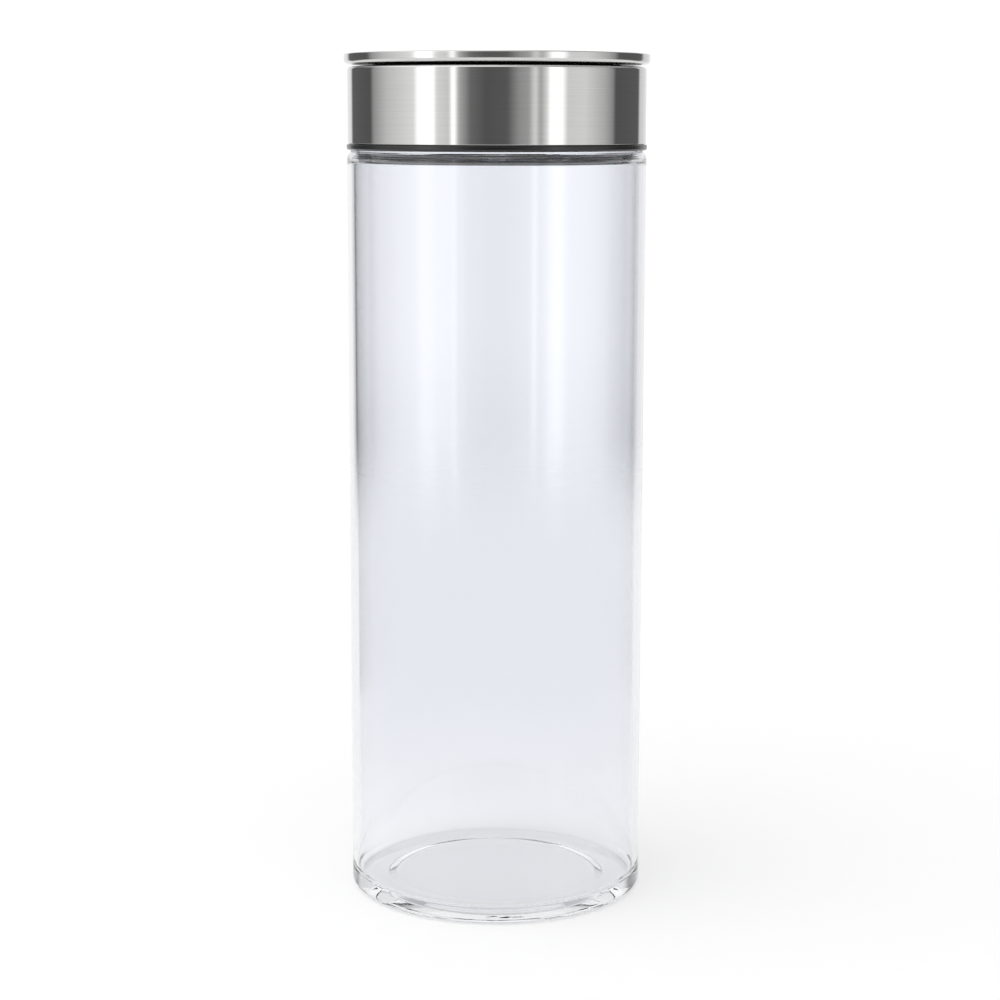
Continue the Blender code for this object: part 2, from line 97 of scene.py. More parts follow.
# brightness of the horizon by azimuth in degrees: 0 is behind the camera, +90 to its right;
# dark cards stand at -145 to -112, -20 to 8 and 102 to 138, strip lights at -60, -34 and 41
HORIZON = [
    (-180, 1.05), (-150, 0.95), (-145, 0.15), (-112, 0.12), (-108, 0.40), (-92, 0.75),
    (-66, 1.05), (-60, 1.90), (-50, 1.90), (-46, 1.00), (-36, 0.85), (-34, 1.70),
    (-32, 1.70), (-29, 0.60), (-20, 0.20), (-8, 0.12), (8, 0.14), (17, 0.40),
    (24, 0.48), (29, 1.00), (33, 0.50), (38, 1.00), (41, 1.70), (50, 1.70),
    (55, 0.90), (70, 0.95), (90, 0.60), (99, 0.35), (102, 0.12), (138, 0.14),
    (142, 0.80), (180, 1.05),
]

# ---- glass ----
GLASS_IOR = 1.474
BASE_IOR = 1.20  # gentler in the thick base, to keep it calm
BASE_REACH = (0.006, 0.022)  # heights between which one gives way to the other
TINT_AND_TONE_SPAN = 0.20  # height over which the stops of the cool colour and its painted light and shade are spread
EDGE_SHADE_SPAN = 0.25  # the same for the stops of the painted dark edge shade
EDGE_SHADE_SIDE_SPAN = 0.10  # width over which the painted edge shade weakens from -X to +X

# ---- mesh quality ----
SIDES = 192
LARGE_SIDES = 256
BUTTON_SIDES = 96
SMALL_SIDES = 48
HEX_SIDES = 6
ARC_STEPS = 8
WIRE_SIDES = 14
COIL_STEPS = 64
KNEE = 0.00012  # length of the narrow strip beside each corner that keeps long faces flat
SHARP_ANGLE = math.radians(32)

# ---- roundings that many edges share ----
CRISP = 0.0001
EDGE = 0.0002
SOFT = 0.0003
BLUNT = 0.0004
ROUND = 0.0005

# ---- sizes that the boxes of the CAD nodes don't give ----
GAP = 0.0003
JAR_WALL = 0.0028
JAR_FLOOR = 0.0042
JAR_PUSH_UP = 0.0012
JAR_PUSH_UP_RADIUS = 0.0340
JAR_PUSH_UP_EDGE = 0.0030
JAR_BASE_CORNER = 0.0025
JAR_SHOULDER_ABOVE_LID = 0.0006  # the shoulder's top stands this far inside the lid
JAR_SHOULDER_ROUND = 0.0036
JAR_NECK_STEP = 0.0027
JAR_NECK_WALL = 0.0026
JAR_RIM_ROUND = 0.0012
JAR_MOUTH_END = 0.0010  # the narrow mouth ends this far below the shoulder
JAR_MOUTH_ROUND = 0.0030
JAR_WIDE_START = 0.0038  # and the full width starts this far below it
JAR_INNER_ROUND = 0.0040
SHEET = 0.0005
BAND_HOLE = 0.0430
BAND_TOP_ROUND = 0.0010
BAND_FOOT_ROUND = 0.00025
BAND_LINING_ROUND = 0.00015
SKIRT_RADIUS = 0.0490
SKIRT_LAP = 0.0001
SKIRT_FOOT = 0.0012
FOOT_ROUND = 0.0008
SKIRT_INNER = 0.0477
DECK = 0.0112  # height of the housing's deck above its foot
DECK_THICK = 0.0020
BORE_RADIUS = 0.0440
BORE_WALL = 0.0014
LIP_RADIUS = 0.0424
LIP_THICK = 0.0016
GASKET_PLUG = 0.0440
GASKET_SHEET = 0.0015
GASKET_RIB = 0.0004
GASKET_RIB_HALF = 0.0005
GASKET_RIBS = (0.0018, 0.0040)  # distance of each wiping rib below the glass rim
PLATE = 0.0020
FLANGE_THICK = 0.0011
FLOOR_RECESS = 0.0400
FLOOR_CUP_INNER = 0.0410
VALVE_CUP_RADIUS = 0.0046
VALVE_CUP_WALL = 0.0016
VALVE_CUP_FLOOR = 0.0015
PIN_HOLE = 0.0019
SEAL_SIDE = 0.0016
SEAL_ROUND = 0.0006
VALVE_CAP_HEIGHT = 0.0012
VALVE_CAP_EDGE = 0.0003
VALVE_CROWN = 0.35  # share of the cap's radius that its flat top takes
VALVE_CROWN_ROUND = 0.0040
VALVE_CROWN_DROP = 0.0001
VALVE_STEM = 0.0012
VALVE_BULB = 0.0019
AIR_HOLE_RADIUS = 0.0010
AIR_HOLE_RING = 0.0032
AIR_HOLES = 4
STEM_HOLE = 0.0015
SPRING_COLLAR = (0.0132, 0.0144)  # inner and outer radius of the collars in the return spring
COLLAR_HEIGHT = 0.0012
CORE_RADIUS = 0.0420
CORE_INNER = 0.0402
PISTON_TOP = 0.2714
BOSS_RADIUS = 0.0050
BOSS_BORE = 0.0036
BOSS_LOW = 0.2705
BOSS_FLOOR = 0.0012
DISC_SHEET = 0.0008
DISC_HOLE = 0.0090
DISC_RIM_WIDTH = 0.0024
DISC_HOLE_ROUND = 0.00025
DISC_TOP_ROUND = 0.00035
DISC_LOW_ROUND = 0.0014
CAP_HOLE = 0.0093
CAP_POCKET = 0.0065
CAP_POCKET_SKIN = 0.0007
SCREW_HOLE = 0.0015
SCREW_HEAD = 0.0014
SOCKET_RADIUS = 0.0011
SOCKET_DEPTH = 0.0008
THREAD_DEPTH = 0.0002
THREAD_PITCH = 0.0005
PIN_RADIUS = 0.0016
PIN_GROOVE = 0.0012
BUTTON_RIM = 0.0011  # width of the rim round the button's dish
BUTTON_SLOPE = 0.0004
BUTTON_DISH = 0.0003
STEM_RADIUS = 0.0010
STEM_HEAD = 0.0009
STEM_FOOT = 0.0007
STEM_FOOT_RADIUS = 0.0020
WIRE_RADII = {"return_spring": 0.0007, "button_spring": 0.0003, "release_spring": 0.00025}
WIRE_TURNS = {"return_spring": 5, "button_spring": 6, "release_spring": 4}


# ---- outlines and turned pieces ----

def extent(node):
    """Radius, bottom and top of a round CAD node."""
    low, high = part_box(node)
    return (high.x - low.x) / 2, low.z, high.z


def centre(node):
    """Where the axis of an upright round CAD node stands."""
    low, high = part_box(node)
    return (low.x + high.x) / 2, (low.y + high.y) / 2


def corner_arc(before, here, after, radius):
    """Points along the rounding of one corner."""
    toward = (before - here).normalized()
    away = (after - here).normalized()
    half_angle = toward.angle(away) / 2
    pivot = here + (toward + away).normalized() * radius / math.sin(half_angle)
    start = here + toward * radius / math.tan(half_angle) - pivot
    end = here + away * radius / math.tan(half_angle) - pivot
    sweep = math.pi - 2 * half_angle
    points = []
    for step in range(ARC_STEPS + 1):
        turn = sweep * step / ARC_STEPS
        mixed = start * math.sin(sweep - turn) + end * math.sin(turn)
        points.append(pivot + mixed / math.sin(sweep))
    return points


def outline(corners):
    """Outline from (radius, height) corners; a third value is that corner's rounding."""
    points = []
    for index, corner in enumerate(corners):
        here = Vector(corner[:2])
        if len(corner) == 2:
            points.append(here)
            continue
        before = Vector(corners[index - 1][:2])
        after = Vector(corners[(index + 1) % len(corners)][:2])
        points += corner_arc(before, here, after, corner[2])
    return points


def with_knees(points, closed):
    """Adds a point just inside both ends of every long straight, so that shading stays flat."""
    result = []
    pairs = zip(points, points[1:] + points[:1]) if closed else zip(points, points[1:])
    for start, end in pairs:
        result.append(start)
        length = (end - start).length
        if length > 4 * KNEE:
            result.append(start.lerp(end, KNEE / length))
            result.append(start.lerp(end, 1 - KNEE / length))
    if not closed:
        result.append(points[-1])
    return result


def turned(name, corners, material, body, replaces=(), sides=SIDES, spot=(0.0, 0.0)):
    """Solid of revolution that rides on a body and stands for the CAD nodes it replaces."""
    points = outline(corners)
    closed = points[0][0] > 0.0
    points = with_knees(points, closed)
    vertices, rings = [], []
    for radius, height in points:
        if radius <= 0.0:
            rings.append([len(vertices)] * sides)
            vertices.append((spot[0], spot[1], height))
            continue
        rings.append(list(range(len(vertices), len(vertices) + sides)))
        for side in range(sides):
            angle = math.tau * side / sides
            x = spot[0] + radius * math.cos(angle)
            vertices.append((x, spot[1] + radius * math.sin(angle), height))
    faces = []
    pairs = zip(rings, rings[1:] + rings[:1]) if closed else zip(rings, rings[1:])
    for first, second in pairs:
        for side in range(sides):
            following = (side + 1) % sides
            quad = (first[side], first[following], second[following], second[side])
            faces.append(tuple(dict.fromkeys(quad)))
    return add_piece(name, vertices, faces, material, body, replaces)


def add_piece(name, vertices, faces, material, body, replaces=()):
    """Closed mesh, facing out, smooth except at real edges."""
    mesh = bpy.data.meshes.new(name)
    mesh.from_pydata(vertices, [], faces)
    bm = bmesh.new()
    bm.from_mesh(mesh)
    bmesh.ops.recalc_face_normals(bm, faces=bm.faces)
    bm.to_mesh(mesh)
    bm.free()
    mesh.shade_smooth()
    mesh.set_sharp_from_angle(angle=SHARP_ANGLE)
    mesh.materials.append(material)
    piece = bpy.data.objects.new(name, mesh)
    bpy.context.scene.collection.objects.link(piece)
    if body:
        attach(piece, body)
    if replaces:
        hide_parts(*replaces)
    return piece


def ring_spots(radius, count, middle=(0.0, 0.0)):
    angles = [math.tau * step / count for step in range(count)]
    return [(middle[0] + radius * math.cos(a), middle[1] + radius * math.sin(a)) for a in angles]


def drill(piece, holes, sides=SMALL_SIDES):
    """Cuts upright holes, each given as (x, y, radius, low, high), out of a piece."""
    bm = bmesh.new()
    for x, y, radius, low, high in holes:
        made = bmesh.ops.create_cone(bm, cap_ends=True, segments=sides, radius1=radius,
                                     radius2=radius, depth=high - low)
        bmesh.ops.translate(bm, verts=made["verts"], vec=(x, y, (low + high) / 2))
    cutter = bpy.data.objects.new("cutter", bpy.data.meshes.new("cutter"))
    bm.to_mesh(cutter.data)
    bm.free()
    bpy.context.scene.collection.objects.link(cutter)
    cut = piece.modifiers.new("holes", "BOOLEAN")
    cut.operation = "DIFFERENCE"
    cut.solver = "EXACT"
    cut.object = cutter
    graph = bpy.context.evaluated_depsgraph_get()
    mesh = bpy.data.meshes.new_from_object(piece.evaluated_get(graph))
    piece.modifiers.remove(cut)
    piece.data = mesh
    mesh.set_sharp_from_angle(angle=SHARP_ANGLE)
    bpy.data.objects.remove(cutter, do_unlink=True)


# ---- material building ----

class Nodes:
    """A node tree with short ways to add and join nodes."""

    def __init__(self, tree):
        self.nodes = tree.nodes
        self.links = tree.links

    def add(self, kind, **settings):
        node = self.nodes.new(kind)
        for key, value in settings.items():
            setattr(node, key, value)
        return node

    def join(self, source, target):
        self.links.new(source, target)

    def feed(self, socket, value):
        """Joins an output to a socket, or sets the socket where the value is a number."""
        if isinstance(value, (int, float)):
            is_color = socket.type == "RGBA"
            socket.default_value = (value, value, value, 1.0) if is_color else value
        else:
            self.join(value, socket)

    def math(self, operation, first, second):
        node = self.add("ShaderNodeMath", operation=operation)
        self.feed(node.inputs[0], first)
        self.feed(node.inputs[1], second)
        return node.outputs[0]

    def split(self, vector):
        node = self.add("ShaderNodeSeparateXYZ")
        self.join(vector, node.inputs[0])
        return node.outputs

    def mix(self, kind, share, first, second):
        """First where share is 0, second where it is 1."""
        node = self.add("ShaderNodeMix", data_type=kind)
        self.join(share, node.inputs["Factor"])
        self.feed(node.inputs["A"], first)
        self.feed(node.inputs["B"], second)
        return node.outputs["Result"]

    def swell(self, value, reach, outcome=(0.0, 1.0)):
        """Goes smoothly from one outcome to the other while value crosses its reach."""
        node = self.add("ShaderNodeMapRange", interpolation_type="SMOOTHSTEP")
        sockets = ("From Min", "From Max", "To Min", "To Max")
        for socket, number in zip(sockets, (*reach, *outcome)):
            node.inputs[socket].default_value = number
        self.join(value, node.inputs["Value"])
        return node.outputs["Result"]

    def ramp(self, factor, stops):
        """Colour or grey that follows factor through (position, value) stops."""
        node = self.add("ShaderNodeValToRGB")
        elements = node.color_ramp.elements
        for _ in range(len(stops) - 2):
            elements.new(0.5)
        for element, (position, value) in zip(elements, stops):
            element.position = position
            color = value if isinstance(value, tuple) else (value, value, value)
            element.color = (*color, 1.0)
        self.join(factor, node.inputs["Fac"])
        return node.outputs["Color"]


class Shader(Nodes):
    """The nodes of a new material."""

    def __init__(self, name):
        self.material = bpy.data.materials.new(name)
        self.material.use_nodes = True
        super().__init__(self.material.node_tree)
        self.bsdf = self.nodes["Principled BSDF"]

    def set(self, **values):
        for key, value in values.items():
            self.bsdf.inputs[key.replace("_", " ")].default_value = value

    def object_point(self, scale=(1.0, 1.0, 1.0)):
        mapping = self.add("ShaderNodeMapping")
        mapping.inputs["Scale"].default_value = scale
        self.join(self.add("ShaderNodeTexCoord").outputs["Object"], mapping.inputs["Vector"])
        return mapping.outputs["Vector"]

    def turning_point(self, around, across):
        """Coordinates of turned work: slow round the axis, fast along the outline."""
        x, y, z = self.split(self.add("ShaderNodeTexCoord").outputs["Object"])
        squares = self.math("ADD", self.math("MULTIPLY", x, x), self.math("MULTIPLY", y, y))
        along = self.math("ADD", self.math("SQRT", squares, 0.0), z)
        combined = self.add("ShaderNodeCombineXYZ")
        self.join(self.math("MULTIPLY", x, around), combined.inputs[0])
        self.join(self.math("MULTIPLY", y, around), combined.inputs[1])
        self.join(self.math("MULTIPLY", along, across), combined.inputs[2])
        return combined.outputs[0]

    def noise(self, vector, scale=1.0, detail=3.0, roughness=0.5):
        node = self.add("ShaderNodeTexNoise")
        node.inputs["Scale"].default_value = scale
        node.inputs["Detail"].default_value = detail
        node.inputs["Roughness"].default_value = roughness
        self.join(vector, node.inputs["Vector"])
        return node.outputs["Fac"]

    def bump(self, height, distance, strength=1.0):
        node = self.add("ShaderNodeBump")
        node.inputs["Distance"].default_value = distance
        node.inputs["Strength"].default_value = strength
        self.join(height, node.inputs["Height"])
        self.join(node.outputs["Normal"], self.bsdf.inputs["Normal"])


def clear_glass(outer_radius):
    """Drawn borosilicate tube with a faint cool colour; painted light and shade by height make it paler
    near the base, lifting the shade under the jar, and deepest a little below the middle.

    Where the wall turns away, both its faces are deeper in tone. On the outer face this stands partly
    for the longer path through the glass and is partly painted shade. On the inner face it is painted
    shade, dark edge lines from a quarter of the height to the middle, stronger on its -X side.
    """
    shader = Shader("clear_glass")
    shader.set(Roughness=0.0, IOR=GLASS_IOR, Transmission_Weight=1.0)
    x, y, z = shader.split(shader.add("ShaderNodeTexCoord").outputs["Object"])
    cloud = shader.noise(shader.object_point((9.0, 9.0, 3.0)), detail=1.0)
    rise = shader.math("ADD", shader.math("DIVIDE", z, TINT_AND_TONE_SPAN), shader.math("MULTIPLY", cloud, 0.04))
    # the glass's cool colour, with painted light and shade by height: paler near the base to lift the
    # shade under the jar, deepest a little below the middle
    tint_and_painted_tone = shader.ramp(rise, [
        (0.02, (0.982, 0.988, 1.000)), (0.12, (0.960, 0.970, 0.992)), (0.28, (0.888, 0.899, 0.930)),
        (0.48, (0.868, 0.880, 0.913)), (0.66, (0.874, 0.886, 0.918)), (0.98, (0.930, 0.942, 0.973)),
    ])
    # painted shade at the edges: the tone deepens where the wall turns away from the view
    facing = shader.add("ShaderNodeLayerWeight").outputs["Facing"]
    outer_tone_and_edge_shade = shader.ramp(facing, [(0.45, 1.0), (0.70, 0.88), (1.0, 0.84)])
    # on the inner face this painted edge shade is set by angle, by height and by side
    depth = shader.ramp(facing, [
        (0.30, 0.0), (0.57, 0.09), (0.67, 0.22), (0.80, 0.40), (0.88, 0.70), (1.0, 0.92)])
    edge_shade_heights = shader.ramp(shader.math("DIVIDE", z, EDGE_SHADE_SPAN), [
        (0.24, 0.0), (0.28, 1.0), (0.56, 0.85), (0.68, 0.20), (0.80, 0.0)])
    across = shader.math("ADD", shader.math("DIVIDE", x, EDGE_SHADE_SIDE_SPAN), 0.5)
    side = shader.ramp(across, [(0.2, 1.0), (0.8, 0.45)])
    shade = shader.math("MULTIPLY", shader.math("MULTIPLY", depth, edge_shade_heights), side)
    inner_painted_edge_shade = shader.math("SUBTRACT", 1.0, shade)
    squares = shader.math("ADD", shader.math("MULTIPLY", x, x), shader.math("MULTIPLY", y, y))
    is_outer = shader.math("GREATER_THAN", squares, (outer_radius - JAR_WALL / 2) ** 2)
    tinted_and_shaded = shader.add("ShaderNodeVectorMath", operation="SCALE")
    shader.join(tint_and_painted_tone, tinted_and_shaded.inputs[0])
    shader.join(shader.mix("FLOAT", is_outer, inner_painted_edge_shade, outer_tone_and_edge_shade), tinted_and_shaded.inputs["Scale"])
    shader.join(tinted_and_shaded.outputs[0], shader.bsdf.inputs["Base Color"])
    shader.join(shader.swell(z, BASE_REACH, (BASE_IOR, GLASS_IOR)), shader.bsdf.inputs["IOR"])
    streaks = shader.noise(shader.object_point((120.0, 120.0, 1.5)), detail=2.0)
    shader.bump(streaks, 0.00002)
    return shader.material


def brushed_steel(name, roughness, around=25.0, across=3000.0, anisotropy=0.55):
    """Stainless sheet brushed in rings round the axis."""
    shader = Shader(name)
    shader.set(Metallic=1.0, Anisotropic=anisotropy, Anisotropic_Rotation=0.25)
    lines = shader.noise(shader.turning_point(around, across), detail=4.0, roughness=0.6)
    color = shader.ramp(lines, [(0.25, (0.60, 0.60, 0.595)), (0.75, (0.66, 0.66, 0.655))])
    shader.join(color, shader.bsdf.inputs["Base Color"])
    rough = shader.ramp(lines, [(0.2, roughness * 0.75), (0.8, roughness * 1.3)])
    shader.join(rough, shader.bsdf.inputs["Roughness"])
    shader.bump(lines, 0.000004)
    tangent = shader.add("ShaderNodeTangent", direction_type="RADIAL", axis="Z")
    shader.join(tangent.outputs[0], shader.bsdf.inputs["Tangent"])
    return shader.material


def black_plastic(name, roughness=0.24):
    """Moulded black plastic with a fine satin grain and slight flow marks."""
    shader = Shader(name)
    grain = shader.noise(shader.object_point((2600.0,) * 3), detail=2.0)
    flow = shader.noise(shader.object_point((60.0, 60.0, 200.0)), detail=3.0)
    color = shader.ramp(flow, [(0.3, (0.009, 0.009, 0.010)), (0.7, (0.015, 0.015, 0.016))])
    shader.join(color, shader.bsdf.inputs["Base Color"])
    rough = shader.ramp(flow, [(0.2, roughness * 0.85), (0.8, roughness * 1.2)])
    shader.join(rough, shader.bsdf.inputs["Roughness"])
    shader.bump(grain, 0.000012, 0.6)
    return shader.material


def silicone(name):
    """Milky silicone rubber: soft sheen, slightly translucent, with a fine dusty grain."""
    shader = Shader(name)
    shader.set(Subsurface_Weight=0.25, Subsurface_Scale=0.002)
    grain = shader.noise(shader.object_point((1800.0,) * 3), detail=3.0)
    cloud = shader.noise(shader.object_point((90.0,) * 3), detail=2.0)
    color = shader.ramp(cloud, [(0.3, (0.66, 0.67, 0.67)), (0.7, (0.74, 0.74, 0.73))])
    shader.join(color, shader.bsdf.inputs["Base Color"])
    rough = shader.ramp(grain, [(0.2, 0.45), (0.8, 0.62)])
    shader.join(rough, shader.bsdf.inputs["Roughness"])
    shader.bump(grain, 0.00001)
    return shader.material


def wire_steel(name):
    """Drawn wire and small turned fasteners: bright, with fine drawing marks."""
    shader = Shader(name)
    shader.set(Metallic=1.0)
    marks = shader.noise(shader.object_point((900.0, 900.0, 2500.0)), detail=3.0)
    color = shader.ramp(marks, [(0.3, (0.50, 0.50, 0.49)), (0.7, (0.60, 0.60, 0.59))])
    shader.join(color, shader.bsdf.inputs["Base Color"])
    rough = shader.ramp(marks, [(0.2, 0.20), (0.8, 0.34)])
    shader.join(rough, shader.bsdf.inputs["Roughness"])
    shader.bump(marks, 0.000005)
    return shader.material


# ---- the jar ----

def make_jar(material):
    radius, low, high = extent("glass_jar")
    inner = radius - JAR_WALL
    neck = radius - JAR_NECK_STEP
    mouth = neck - JAR_NECK_WALL
    shoulder = extent("lid_housing")[1] + JAR_SHOULDER_ABOVE_LID
    push_up = JAR_PUSH_UP_RADIUS
    turned("jar_glass", [
        (0.0, low + JAR_PUSH_UP),
        (push_up, low + JAR_PUSH_UP, JAR_PUSH_UP_EDGE),
        (push_up + JAR_PUSH_UP_EDGE, low, JAR_PUSH_UP_EDGE),
        (radius, low, JAR_BASE_CORNER),
        (radius, shoulder, JAR_SHOULDER_ROUND),
        (neck, shoulder, EDGE),
        (neck, high, JAR_RIM_ROUND),
        (mouth, high, JAR_RIM_ROUND),
        (mouth, shoulder - JAR_MOUTH_END, JAR_MOUTH_ROUND),
        (inner, shoulder - JAR_WIDE_START, JAR_INNER_ROUND),
        (inner, low + JAR_FLOOR, JAR_INNER_ROUND),
        (0.0, low + JAR_FLOOR),
    ], material, "jar", ["glass_jar"], sides=LARGE_SIDES)


# ---- the lid ----

def make_band(material):
    radius, low, high = extent("lid_band")
    inner = radius - SHEET
    turned("band_sleeve", [
        (inner, low, BAND_LINING_ROUND),
        (radius, low, BAND_FOOT_ROUND),
        (radius, high, BAND_TOP_ROUND),
        (BAND_HOLE, high, EDGE),
        (BAND_HOLE, high - SHEET, CRISP),
        (inner, high - SHEET, ROUND),
    ], material, "lid", ["lid_band"], sides=LARGE_SIDES)


def make_housing(material):
    foot, low, high = extent("lid_housing")
    foot_top = extent("lid_band")[1] - GAP
    deck = low + DECK
    bore_outer = BORE_RADIUS + BORE_WALL
    turned("housing_moulding", [
        (SKIRT_RADIUS - SKIRT_LAP, low, SOFT),
        (foot, low, FOOT_ROUND),
        (foot, foot_top, EDGE),
        (SKIRT_RADIUS, foot_top),
        (SKIRT_RADIUS, high, SOFT),
        (SKIRT_INNER, high, SOFT),
        (SKIRT_INNER, deck + DECK_THICK, SOFT),
        (bore_outer, deck + DECK_THICK, SOFT),
        (bore_outer, high, SOFT),
        (LIP_RADIUS, high, SOFT),
        (LIP_RADIUS, high - LIP_THICK, EDGE),
        (BORE_RADIUS, high - LIP_THICK, EDGE),
        (BORE_RADIUS, deck, SOFT),
        (SKIRT_INNER, deck, SOFT),
        (SKIRT_INNER, low + SKIRT_FOOT, BLUNT),
    ], material, "lid", ["lid_housing"])


def make_gasket(material):
    """Flat ring on the glass rim with a hanging plug and two wiping ribs."""
    radius, low, high = extent("mouth_gasket")
    rim = high - GASKET_SHEET
    inner = BAND_HOLE
    corners = [
        (inner, high, SOFT),
        (radius, high, BLUNT),
        (radius, rim, BLUNT),
        (GASKET_PLUG, rim, EDGE),
    ]
    for drop in GASKET_RIBS:
        corners += [
            (GASKET_PLUG, rim - drop + GASKET_RIB_HALF),
            (GASKET_PLUG + GASKET_RIB, rim - drop, EDGE),
            (GASKET_PLUG, rim - drop - GASKET_RIB_HALF),
        ]
    corners += [(GASKET_PLUG, low, SOFT), (inner, low, SOFT)]
    turned("gasket_ring", corners, material, "lid", ["mouth_gasket"])


def valve_holes(node, low, high):
    """The stem hole and the ring of air holes under one umbrella valve."""
    x, y = centre(node)
    holes = [(x, y, STEM_HOLE, low, high)]
    for spot in ring_spots(AIR_HOLE_RING, AIR_HOLES, middle=(x, y)):
        holes.append((*spot, AIR_HOLE_RADIUS, low, high))
    return holes


def make_chamber_floor(material):
    flange, low, high = extent("chamber_floor")
    seal, seal_low, seal_high = extent("floor_seal")
    groove = seal - SEAL_SIDE - GAP
    flange_low = extent("mouth_gasket")[2] + GAP
    plate_low = flange_low + FLANGE_THICK
    plate_high = plate_low + PLATE
    cup_high = low + VALVE_CUP_FLOOR
    collar_inner, collar_outer = SPRING_COLLAR
    piece = turned("chamber_plate", [
        (PIN_HOLE, low, EDGE),
        (PIN_HOLE, cup_high, EDGE),
        (VALVE_CUP_RADIUS, cup_high, EDGE),
        (VALVE_CUP_RADIUS, plate_high, EDGE),
        (collar_inner, plate_high, EDGE),
        (collar_inner, plate_high + COLLAR_HEIGHT, SOFT),
        (collar_outer, plate_high + COLLAR_HEIGHT, SOFT),
        (collar_outer, plate_high, EDGE),
        (FLOOR_CUP_INNER, plate_high, BLUNT),
        (FLOOR_CUP_INNER, high, EDGE),
        (seal, high, EDGE),
        (seal, seal_high + GAP, CRISP),
        (groove, seal_high + GAP, CRISP),
        (groove, seal_low - GAP, CRISP),
        (seal, seal_low - GAP, CRISP),
        (seal, plate_low, CRISP),
        (flange, plate_low, EDGE),
        (flange, flange_low, EDGE),
        (FLOOR_RECESS, flange_low, SOFT),
        (FLOOR_RECESS, plate_low, SOFT),
        (VALVE_CUP_RADIUS + VALVE_CUP_WALL, plate_low, SOFT),
        (VALVE_CUP_RADIUS + VALVE_CUP_WALL, low, SOFT),
    ], material, "lid", ["chamber_floor"])
    drill(piece, valve_holes("intake_valve", flange_low, plate_high + COLLAR_HEIGHT))


def make_seal(node, body, material):
    radius, low, high = extent(node)
    inner = radius - SEAL_SIDE
    turned(node + "_ring", [
        (inner, low, EDGE),
        (radius, low, SEAL_ROUND),
        (radius, high, SEAL_ROUND),
        (inner, high, EDGE),
    ], material, body, [node])


def make_umbrella_valve(node, body, material):
    """Thin domed cap on a stem, held by a bulb under its plate."""
    radius, low, high = extent(node)
    cap_low = high - VALVE_CAP_HEIGHT
    bulb_top = cap_low - PLATE - 2 * GAP
    turned(node + "_umbrella", [
        (0.0, high),
        (radius * VALVE_CROWN, high - VALVE_CROWN_DROP, VALVE_CROWN_ROUND),
        (radius, cap_low + VALVE_CAP_EDGE, EDGE),
        (radius, cap_low, CRISP),
        (VALVE_STEM, cap_low, SOFT),
        (VALVE_STEM, bulb_top, CRISP),
        (VALVE_BULB, bulb_top, SOFT),
        (VALVE_STEM, low, SOFT),
        (0.0, low),
    ], material, body, [node], sides=SMALL_SIDES, spot=centre(node))


# ---- the plunger ----

def screw_holes(low, high):
    return [(*centre(f"cap_screw_{i}"), SCREW_HOLE, low, high) for i in SCREWS]


def make_core(material):
    piston, low, high = extent("plunger_core")
    seal_low, seal_high = extent("piston_seal")[1:]
    groove = extent("piston_seal")[0] - SEAL_SIDE - GAP
    plate_low = high - PLATE
    collar_inner, collar_outer = SPRING_COLLAR
    piece = turned("piston_core", [
        (PIN_HOLE, BOSS_LOW, EDGE),
        (PIN_HOLE, BOSS_LOW + BOSS_FLOOR, CRISP),
        (BOSS_BORE, BOSS_LOW + BOSS_FLOOR, EDGE),
        (BOSS_BORE, high, EDGE),
        (CORE_RADIUS, high, BLUNT),
        (CORE_RADIUS, PISTON_TOP, EDGE),
        (piston, PISTON_TOP, SOFT),
        (piston, seal_high + GAP, CRISP),
        (groove, seal_high + GAP, CRISP),
        (groove, seal_low - GAP, CRISP),
        (piston, seal_low - GAP, CRISP),
        (piston, low, EDGE),
        (CORE_INNER, low, SOFT),
        (CORE_INNER, plate_low, ROUND),
        (collar_outer, plate_low, EDGE),
        (collar_outer, plate_low - COLLAR_HEIGHT, SOFT),
        (collar_inner, plate_low - COLLAR_HEIGHT, SOFT),
        (collar_inner, plate_low, EDGE),
        (BOSS_RADIUS, plate_low, BLUNT),
        (BOSS_RADIUS, BOSS_LOW, SOFT),
    ], material, "plunger", ["plunger_core"])
    below, above = plate_low - COLLAR_HEIGHT, high + COLLAR_HEIGHT
    drill(piece, valve_holes("exhaust_valve", below, above) + screw_holes(below, above))


def make_cap(material):
    radius, low, high = extent("plunger_cap")
    screw_tip = extent("cap_screw_1")[2]
    piece = turned("cap_plate", [
        (CAP_HOLE, low, EDGE),
        (radius, low, BLUNT),
        (radius, high, BLUNT),
        (CAP_HOLE, high, EDGE),
    ], material, "plunger", ["plunger_cap"])
    below = low - PLATE
    pocket = (*centre("exhaust_valve"), CAP_POCKET, below, high - CAP_POCKET_SKIN)
    drill(piece, [pocket] + screw_holes(below, screw_tip + GAP))


def make_disc(material):
    radius, low, high = extent("top_disc")
    inner = radius - DISC_RIM_WIDTH
    turned("disc_shell", [
        (DISC_HOLE, high - DISC_SHEET, CRISP),
        (DISC_HOLE, high, DISC_HOLE_ROUND),
        (radius, high, DISC_TOP_ROUND),
        (radius, low, DISC_LOW_ROUND),
        (inner, low, BLUNT),
        (inner, high - DISC_SHEET, SOFT),
    ], material, "plunger", ["top_disc"], sides=LARGE_SIDES)


def make_screw(number, material):
    """Pan head with a hex socket below and a ribbed thread that bites into the cap above."""
    node = f"cap_screw_{number}"
    head, low, high = extent(node)
    head_top = low + SCREW_HEAD
    shank = SCREW_HOLE - GAP
    corners = [
        (0.0, low),
        (head, low, ROUND),
        (head, head_top, CRISP),
        (shank, head_top, CRISP),
    ]
    ridge = head_top + PLATE
    while ridge < high - shank - THREAD_PITCH:
        corners += [(shank, ridge), (shank - THREAD_DEPTH, ridge + THREAD_PITCH / 2)]
        ridge += THREAD_PITCH
    corners += [(shank, high - shank, EDGE), (0.0, high)]
    piece = turned(f"screw_{number}", corners, material, "plunger", [node],
                   sides=SMALL_SIDES, spot=centre(node))
    drill(piece, [(*centre(node), SOCKET_RADIUS, low - GAP, low + SOCKET_DEPTH)], sides=HEX_SIDES)


# ---- the button and the release valve ----

